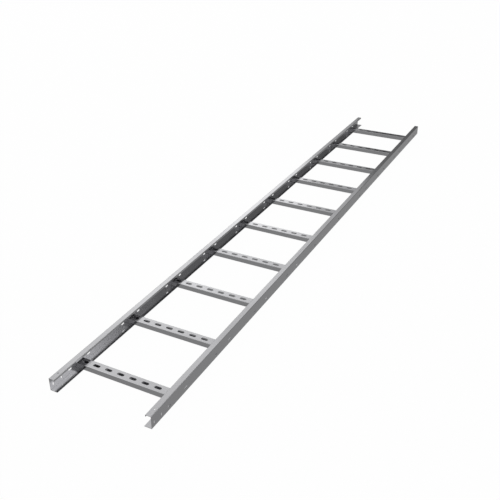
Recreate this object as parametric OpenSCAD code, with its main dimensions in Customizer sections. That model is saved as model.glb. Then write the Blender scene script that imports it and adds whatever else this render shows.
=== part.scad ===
// Cable ladder section: two roll-formed side rails joined by slotted rungs.
// X runs across the ladder, Y along it and Z up. The origin is on the floor,
// under the middle of the section.

/* [Ladder] */
// Length of the section
ladder_length = 3000; // [1200:100:6000]
// Clear width between the webs of the two side rails
clear_width = 400; // [200:50:600]
// Distance from one rung's centre to the next
rung_pitch = 300; // [200:50:600]

/* [Side rails] */
// Height of a side rail
rail_height = 50; // [45:5:100]
// Sheet thickness of the side rails
rail_sheet = 1.5; // [1:0.1:2]
// Inside radius of the rail's bends
rail_bend = 0.5; // [0.5:0.5:3]
// Width of the top flange, from the rail's outer face
top_flange = 22; // [16:1:30]
// Depth of the lip turned down from the top flange
top_lip = 7; // [5:1:12]
// Width of the bottom flange, from the rail's outer face
bottom_flange = 29; // [20:1:40]

/* [Rail slots] */
// Height of the row of slots above the rail's underside
web_slot_height = 17.5; // [14:0.5:30]
// Length of a slot in the rail's web
web_slot_length = 17; // [10:1:24]
// Width of a slot in the rail's web
web_slot_width = 5.5; // [4:0.5:9]
// Distance between the two slots that straddle a rung
web_slot_pitch = 100; // [70:5:140]
// Distance from the rail's end to the first splice slot
splice_slot_edge = 15; // [10:1:25]
// Distance between the two splice slots at a rail's end
splice_slot_pitch = 40; // [20:5:50]
// Length of a splice slot, which stands upright
splice_slot_length = 12; // [10:1:18]

/* [Cover holes] */
// Diameter of the cover hole in the top flange
cover_hole_diameter = 5.5; // [3:0.5:8]
// Distance from the rail's end to the cover hole
cover_hole_edge = 35; // [20:1:60]
// Distance from the rail's outer face to the cover hole
cover_hole_inset = 10; // [8:0.5:12]

/* [Rungs] */
// Width of a rung
rung_width = 36; // [26:1:45]
// Height of a rung
rung_height = 21; // [16:1:26]
// Sheet thickness of the rungs
rung_sheet = 1.2; // [1:0.1:2]
// Inside radius of the rung's bends
rung_bend = 0.5; // [0.5:0.5:2]
// Width of each lip under the rung, from the rung's side
rung_lip = 8; // [5:0.5:10]
// Clearance between a rung's end and the bend at the foot of the rail's web
rung_end_gap = 0.2; // [0.1:0.1:1]

/* [Rung slots] */
// Distance from one slot's centre to the next along the rung
rung_slot_pitch = 50; // [40:5:100]
// Length of a slot in the rung's top
rung_slot_length = 28; // [16:1:32]
// Width of a slot in the rung's top
rung_slot_width = 12; // [6:0.5:14]
// Least solid metal between the last slot and the rung's end
rung_slot_margin = 6; // [4:1:20]

/* [Hidden] */
$fn = 48;
steel = [0.74, 0.75, 0.76];
// Extra length that carries a cut clear of the faces it passes through
cut_over = 1;

half_width = clear_width / 2 + rail_sheet;
rung_count = floor(ladder_length / rung_pitch);
rung_length = clear_width - 2 * (rail_bend + rung_end_gap);
// Outermost place for a slot's centre, from the middle of the rung
rung_slot_reach = (rung_length - rung_slot_length) / 2 - rung_slot_margin;
rung_slot_pairs = floor(rung_slot_reach / rung_slot_pitch + 1 / 2);

function rung_y(i) = (i - (rung_count + 1) / 2) * rung_pitch;
function rung_name(i) = str("rung_", i < 10 ? "0" : "", i);

// One quarter of a bend in the plane of a section. Its centre is the origin
// and the sheet turns round it, in the quarter that x_side and y_side name.
module bend(inside, sheet, x_side, y_side) {
    outside = inside + sheet;
    intersection() {
        difference() {
            circle(r = outside);
            circle(r = inside);
        }
        translate([x_side > 0 ? 0 : -outside, y_side > 0 ? 0 : -outside])
            square(outside);
    }
}

// Flat stretch of sheet in a section, between two opposite corners
module strip(from, to) {
    translate(from)
        square(to - from);
}

// A slot with round ends along X, cut along Z and centred on the origin
module slot(length, width, depth) {
    reach = (length - width) / 2;
    for (side = [-1, 1])
        translate([side * reach, 0, 0])
            cylinder(d = width, h = depth, center = true);
    cube([2 * reach, width, depth], center = true);
}

// Section of the left rail: outer face at x = 0, flanges towards +X, underside at y = 0
module rail_section() {
    turn = rail_bend + rail_sheet;
    strip([0, turn], [rail_sheet, rail_height - turn]);
    translate([turn, turn])
        bend(rail_bend, rail_sheet, -1, -1);
    strip([turn, 0], [bottom_flange, rail_sheet]);
    translate([turn, rail_height - turn])
        bend(rail_bend, rail_sheet, -1, 1);
    strip([turn, rail_height - rail_sheet], [top_flange - turn, rail_height]);
    translate([top_flange - turn, rail_height - turn])
        bend(rail_bend, rail_sheet, 1, 1);
    strip([top_flange - rail_sheet, rail_height - top_lip], [top_flange, rail_height - turn]);
}

// Slots through the web of the left rail: a pair at each rung and two at each end
module web_slots() {
    depth = 2 * (rail_sheet + cut_over);
    translate([-half_width, 0, web_slot_height]) {
        for (i = [1 : rung_count], side = [-1, 1])
            translate([0, rung_y(i) + side * web_slot_pitch / 2, 0])
                rotate([90, 0, 90])
                    slot(web_slot_length, web_slot_width, depth);
        for (end = [-1, 1], place = [0, 1])
            translate([0, end * (ladder_length / 2 - splice_slot_edge - place * splice_slot_pitch), 0])
                rotate([0, 90, 0])
                    slot(splice_slot_length, web_slot_width, depth);
    }
}

// A hole near each end of the left rail's top flange, for the screw of a cover
module cover_holes() {
    for (end = [-1, 1])
        translate([cover_hole_inset - half_width, end * (ladder_length / 2 - cover_hole_edge), rail_height])
            cylinder(d = cover_hole_diameter, h = 2 * (rail_sheet + cut_over), center = true);
}

module rail_left() {
    color(steel)
        difference() {
            translate([-half_width, 0, 0])
                rotate([90, 0, 0])
                    linear_extrude(height = ladder_length, center = true)
                        rail_section();
            web_slots();
            cover_holes();
        }
}

module rail_right() {
    mirror([1, 0, 0])
        rail_left();
}

// Half of a rung's section, on the side x > 0: top, side and lip, underside at y = 0
module half_rung_section() {
    turn = rung_bend + rung_sheet;
    side = rung_width / 2;
    strip([0, rung_height - rung_sheet], [side - turn, rung_height]);
    translate([side - turn, rung_height - turn])
        bend(rung_bend, rung_sheet, 1, 1);
    strip([side - rung_sheet, turn], [side, rung_height - turn]);
    translate([side - turn, turn])
        bend(rung_bend, rung_sheet, 1, -1);
    strip([side - rung_lip, 0], [side - turn, rung_sheet]);
}

// Slots in a rung's top, in equal numbers on both sides of its middle
module rung_slots() {
    for (k = [1 : rung_slot_pairs], side = [-1, 1])
        translate([side * (k - 1 / 2) * rung_slot_pitch, 0, rung_height])
            slot(rung_slot_length, rung_slot_width, 2 * (rung_sheet + cut_over));
}

// Rung number i, lying on the bottom flanges of both rails
module rung(i) {
    color(steel)
        translate([0, rung_y(i), rail_sheet])
            difference() {
                rotate([90, 0, 90])
                    linear_extrude(height = rung_length, center = true) {
                        half_rung_section();
                        mirror([1, 0])
                            half_rung_section();
                    }
                rung_slots();
            }
}

rail_left();
rail_right();
for (i = [1 : rung_count])
    rung(i);
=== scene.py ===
"""Looks of the cable ladder section: galvanised steel rails and rungs on a pale studio floor."""
import math

import bpy
from mathutils import Matrix, Vector


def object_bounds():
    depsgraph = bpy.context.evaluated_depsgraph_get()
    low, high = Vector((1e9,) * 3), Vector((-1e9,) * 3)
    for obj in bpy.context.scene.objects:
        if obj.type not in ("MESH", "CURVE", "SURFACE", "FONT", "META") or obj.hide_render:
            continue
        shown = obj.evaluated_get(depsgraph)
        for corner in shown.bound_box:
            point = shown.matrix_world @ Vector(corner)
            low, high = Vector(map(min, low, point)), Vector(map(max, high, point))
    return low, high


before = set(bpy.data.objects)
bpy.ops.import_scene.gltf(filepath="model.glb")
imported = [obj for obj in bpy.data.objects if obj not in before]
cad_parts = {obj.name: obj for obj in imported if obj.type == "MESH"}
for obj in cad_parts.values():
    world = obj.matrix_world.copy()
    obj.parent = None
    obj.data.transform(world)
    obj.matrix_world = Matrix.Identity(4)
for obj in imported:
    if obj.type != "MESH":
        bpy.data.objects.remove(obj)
CAD_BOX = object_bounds()

# The photograph's viewpoint. Places are in metres, the lens and its sensor in millimetres.
CAMERA_PLACE = Vector((1.217, -2.807, 1.533))
CAMERA_TARGET = Vector((-0.051, -0.349, 0.0))
CAMERA_ROLL = math.radians(-0.15)
CAMERA_LENS = 50.6
CAMERA_SENSOR = 36.0

# The floor: how much of it glows white for the camera, and how brightly the metal sees it
WHITE = (1.0, 1.0, 1.0, 1.0)
FLOOR_SIZE = 80.0
FLOOR_GAP = 0.0005
FLOOR_COLOUR = (0.9, 0.9, 0.9, 1.0)
FLOOR_WHITE_SHARE = 0.98
FLOOR_METAL_GLOW = 0.345

# Galvanised steel, from its darkest and glossiest tone to its lightest and dullest
STEEL_DARK = (0.52, 0.52, 0.533, 1.0)
STEEL_LIGHT = (0.60, 0.60, 0.615, 1.0)
STEEL_ROUGHNESS = (0.12, 0.18)
STEEL_METALLIC = 1.0

# Its patterns: how fine each is, and its share in the tone
CLOUD_SCALE = 9.0
CLOUD_DETAIL = 5.0
CLOUD_SHARE = 0.75
SPANGLE_SCALE = 130.0
SPANGLE_SHARE = 0.1
STREAK_SCALE = 420.0
STREAK_DETAIL = 4.0
STREAK_STRETCH = 0.04
STREAK_SHARE = 0.15
BUMP_STRENGTH = 0.05
BUMP_DISTANCE = 0.0002
BUMP_CLOUD_SHARE = 0.5

# Strength of the sky's light straight up, and level with the floor behind the camera
SKY_OVERHEAD = 0.43
SKY_FRONT = 0.39


# ---------------------------------------------------------------- node helpers

class Graph:
    """A material's or world's node tree, with short calls that add and link nodes."""

    def __init__(self, tree):
        self.tree = tree
        self.tree.nodes.clear()

    def add(self, kind, **settings):
        node = self.tree.nodes.new(kind)
        for name, value in settings.items():
            setattr(node, name, value)
        return node

    def feed(self, socket, value):
        """Puts a number, a colour or another node's output into an input socket."""
        if isinstance(value, bpy.types.NodeSocket):
            self.tree.links.new(value, socket)
        else:
            socket.default_value = value

    def math(self, operation, a, b=0.0):
        node = self.add("ShaderNodeMath", operation=operation)
        self.feed(node.inputs[0], a)
        self.feed(node.inputs[1], b)
        return node.outputs[0]

    def spread(self, value, low, high):
        """Maps a value from 0..1 to low..high."""
        node = self.add("ShaderNodeMapRange")
        self.feed(node.inputs["Value"], value)
        node.inputs["To Min"].default_value = low
        node.inputs["To Max"].default_value = high
        return node.outputs["Result"]

    def mix(self, factor, a, b):
        node = self.add("ShaderNodeMix", data_type="RGBA")
        self.feed(node.inputs["Factor"], factor)
        self.feed(node.inputs["A"], a)
        self.feed(node.inputs["B"], b)
        return node.outputs["Result"]

    def noise(self, place, scale, detail):
        node = self.add("ShaderNodeTexNoise")
        self.feed(node.inputs["Vector"], place)
        node.inputs["Scale"].default_value = scale
        node.inputs["Detail"].default_value = detail
        return node.outputs["Fac"]


def new_material(name):
    material = bpy.data.materials.new(name)
    material.use_nodes = True
    return material, Graph(material.node_tree)


# ------------------------------------------------------------------- materials

def galvanised_steel(name, roll_axis):
    """Satin zinc-coated sheet: cloudy patches, faint spangle and streaks along roll_axis."""
    material, g = new_material(name)
    place = g.add("ShaderNodeTexCoord").outputs["Object"]

    stretch = g.add("ShaderNodeMapping")
    stretch.inputs["Scale"].default_value = [
        STREAK_STRETCH if axis == roll_axis else 1.0 for axis in range(3)
    ]
    g.feed(stretch.inputs["Vector"], place)
    streaks = g.noise(stretch.outputs["Vector"], STREAK_SCALE, STREAK_DETAIL)

    flakes = g.add("ShaderNodeTexVoronoi", feature="F1")
    g.feed(flakes.inputs["Vector"], place)
    flakes.inputs["Scale"].default_value = SPANGLE_SCALE
    flake = g.add("ShaderNodeSeparateColor")
    g.feed(flake.inputs["Color"], flakes.outputs["Color"])
    spangle = flake.outputs["Red"]

    clouds = g.noise(place, CLOUD_SCALE, CLOUD_DETAIL)
    tone = g.math(
        "ADD",
        g.math("MULTIPLY", clouds, CLOUD_SHARE),
        g.math("MULTIPLY", spangle, SPANGLE_SHARE),
    )
    tone = g.math("ADD", tone, g.math("MULTIPLY", streaks, STREAK_SHARE))

    bump = g.add("ShaderNodeBump")
    bump.inputs["Strength"].default_value = BUMP_STRENGTH
    bump.inputs["Distance"].default_value = BUMP_DISTANCE
    swell = g.math("MULTIPLY", clouds, BUMP_CLOUD_SHARE)
    g.feed(bump.inputs["Height"], g.math("ADD", streaks, swell))

    shader = g.add("ShaderNodeBsdfPrincipled")
    g.feed(shader.inputs["Base Color"], g.mix(tone, STEEL_DARK, STEEL_LIGHT))
    g.feed(shader.inputs["Roughness"], g.spread(tone, *STEEL_ROUGHNESS))
    shader.inputs["Metallic"].default_value = STEEL_METALLIC
    g.feed(shader.inputs["Normal"], bump.outputs["Normal"])
    output = g.add("ShaderNodeOutputMaterial")
    g.feed(output.inputs["Surface"], shader.outputs["BSDF"])
    return material


def floor_material():
    """White to the camera, with a trace of the object's shadow kept, and an even grey in metal."""
    material, g = new_material("studio_floor")
    plain = g.add("ShaderNodeBsdfDiffuse")
    plain.inputs["Color"].default_value = FLOOR_COLOUR
    glow = g.add("ShaderNodeEmission")
    glow.inputs["Color"].default_value = WHITE
    ray = g.add("ShaderNodeLightPath")
    by_camera = ray.outputs["Is Camera Ray"]
    in_metal = g.math("MAXIMUM", ray.outputs["Is Glossy Ray"], ray.outputs["Is Transmission Ray"])
    g.feed(glow.inputs["Strength"], g.spread(by_camera, FLOOR_METAL_GLOW, 1.0))
    share = g.math("MAXIMUM", g.math("MULTIPLY", by_camera, FLOOR_WHITE_SHARE), in_metal)
    surface = g.add("ShaderNodeMixShader")
    g.feed(surface.inputs[0], share)
    g.feed(surface.inputs[1], plain.outputs["BSDF"])
    g.feed(surface.inputs[2], glow.outputs["Emission"])
    output = g.add("ShaderNodeOutputMaterial")
    g.feed(output.inputs["Surface"], surface.outputs["Shader"])
    return material


def dress_ladder():
    """Gives the rails and rungs their steel, with its streaks along the way each was rolled."""
    rail_steel = galvanised_steel("rail_steel", roll_axis=1)
    rung_steel = galvanised_steel("rung_steel", roll_axis=0)
    for name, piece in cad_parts.items():
        piece.data.materials.clear()
        piece.data.materials.append(rail_steel if name.startswith("rail") else rung_steel)


# ----------------------------------------------------------------------- stage

def make_floor():
    height = CAD_BOX[0].z - FLOOR_GAP
    bpy.ops.mesh.primitive_plane_add(size=FLOOR_SIZE, location=(0.0, 0.0, height))
    floor = bpy.context.object
    floor.name = "studio_floor"
    floor.data.materials.append(floor_material())


def aim(obj, place, target, roll=0.0):
    turn = (target - place).to_track_quat("-Z", "Y").to_matrix().to_4x4()
    obj.matrix_world = Matrix.Translation(place) @ turn @ Matrix.Rotation(roll, 4, "Z")


def softbox(name, towards, distance, size, radiance):
    """A soft area lamp, as wide and high as size says, that faces the middle of the ladder.

    It stands towards an azimuth and an elevation in degrees: azimuth 0 is +Y and 90 is -X.
    """
    azimuth, elevation = (math.radians(angle) for angle in towards)
    level = math.cos(elevation)
    way = Vector((-math.sin(azimuth) * level, math.cos(azimuth) * level, math.sin(elevation)))
    width, height = size
    data = bpy.data.lights.new(name, "AREA")
    data.shape = "RECTANGLE"
    data.size = width
    data.size_y = height
    data.energy = radiance * math.pi * width * height
    lamp = bpy.data.objects.new(name, data)
    bpy.context.scene.collection.objects.link(lamp)
    aim(lamp, distance * way, Vector((0.0, 0.0, 0.0)))


def make_lights():
    """Boxes at the back left, which the top faces mirror, and a box at the right and the left."""
    softbox("back_high", towards=(40.0, 44.0), distance=9.0, size=(6.0, 3.4), radiance=0.44)
    softbox("back_low", towards=(40.0, 25.0), distance=9.0, size=(7.6, 3.4), radiance=0.39)
    softbox("core_left", towards=(46.0, 36.0), distance=8.0, size=(2.4, 2.4), radiance=0.17)
    softbox("core_middle", towards=(36.0, 30.0), distance=8.0, size=(2.2, 1.8), radiance=0.165)
    softbox("core_right", towards=(30.0, 23.0), distance=8.0, size=(2.2, 1.8), radiance=0.645)
    softbox("right_fill", towards=(-66.0, 36.0), distance=8.0, size=(4.0, 4.0), radiance=1.045)
    softbox("left_fill", towards=(100.0, 35.0), distance=8.0, size=(8.0, 8.0), radiance=0.75)


def make_world():
    """White to the camera. Its light is a grey sky, brighter overhead and behind the camera."""
    world = bpy.data.worlds.new("studio")
    bpy.context.scene.world = world
    world.use_nodes = True
    g = Graph(world.node_tree)
    way = g.add("ShaderNodeSeparateXYZ")
    g.feed(way.inputs["Vector"], g.add("ShaderNodeTexCoord").outputs["Generated"])
    overhead = g.math("MULTIPLY", g.math("MAXIMUM", way.outputs["Z"], 0.0), SKY_OVERHEAD)
    front = g.math("MULTIPLY", g.math("SUBTRACT", 1.0, way.outputs["Y"]), SKY_FRONT / 2)
    light = g.math("ADD", overhead, front)
    by_camera = g.add("ShaderNodeLightPath").outputs["Is Camera Ray"]
    background = g.add("ShaderNodeBackground")
    background.inputs["Color"].default_value = WHITE
    g.feed(background.inputs["Strength"], g.math("MAXIMUM", light, by_camera))
    output = g.add("ShaderNodeOutputWorld")
    g.feed(output.inputs["Surface"], background.outputs["Background"])


def make_camera():
    data = bpy.data.cameras.new("camera")
    data.lens = CAMERA_LENS
    data.sensor_width = CAMERA_SENSOR
    camera = bpy.data.objects.new("camera", data)
    bpy.context.scene.collection.objects.link(camera)
    aim(camera, CAMERA_PLACE, CAMERA_TARGET, CAMERA_ROLL)
    bpy.context.scene.camera = camera


bpy.context.scene.view_settings.view_transform = "Standard"
make_camera()
dress_ladder()
make_floor()
make_lights()
make_world()
